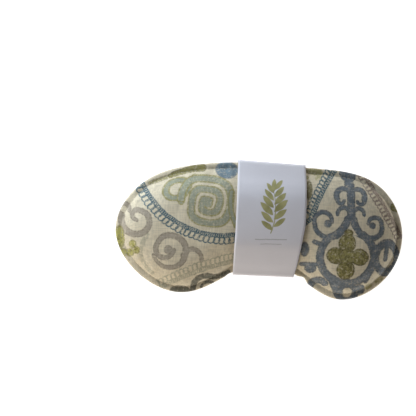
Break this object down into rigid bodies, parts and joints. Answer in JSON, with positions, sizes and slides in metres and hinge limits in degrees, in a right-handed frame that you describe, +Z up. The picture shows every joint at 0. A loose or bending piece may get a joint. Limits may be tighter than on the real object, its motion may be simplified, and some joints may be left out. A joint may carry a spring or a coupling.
{
  "type": "eye pillow",
  "caption": "Mask-shaped seed-filled eye pillow in a printed linen cover with a topstitched edge, held in a paper belly band that slides off.",
  "frame": {"origin": "bottom centre of the whole object, on the surface that the pillow lies on", "axes": "+X along the pillow's length, +Y towards the straight forehead edge, +Z up through the printed face"},
  "size_m": [0.2414, 0.1129, 0.0229],
  "materials": {
    "printed_linen": "matt slub weave with a scroll print in slate blue, taupe and olive",
    "cover_thread": "spun polyester thread",
    "muslin": "plain unbleached cotton",
    "insert_thread": "fine cotton thread",
    "flax_seed": "smooth glossy seed",
    "white_paper": null,
    "paper_glue": "dried clear glue"
  },
  "bodies": {
    "pillow": {"cover_front": "printed_linen", "cover_back_left": "printed_linen", "cover_back_right": "printed_linen", "edge_topstitch": "cover_thread", "hem_stitch_left": "cover_thread", "hem_stitch_right": "cover_thread", "insert_front": "muslin", "insert_back": "muslin", "insert_seam_stitch": "insert_thread", "insert_closing_stitch": "insert_thread", "seed_fill": "flax_seed"},
    "band": {"paper_band": "white_paper", "band_glue": "paper_glue"}
  },
  "joints": [
    {"name": "band_slide", "type": "slide", "parent": "pillow", "child": "band", "axis": [1, 0, 0], "range_m": [-0.165, 0.148], "deforming": ["cover_front", "cover_back_left", "cover_back_right", "edge_topstitch", "hem_stitch_left", "hem_stitch_right", "insert_front", "insert_back", "insert_seam_stitch", "insert_closing_stitch", "seed_fill"]}
  ]
}
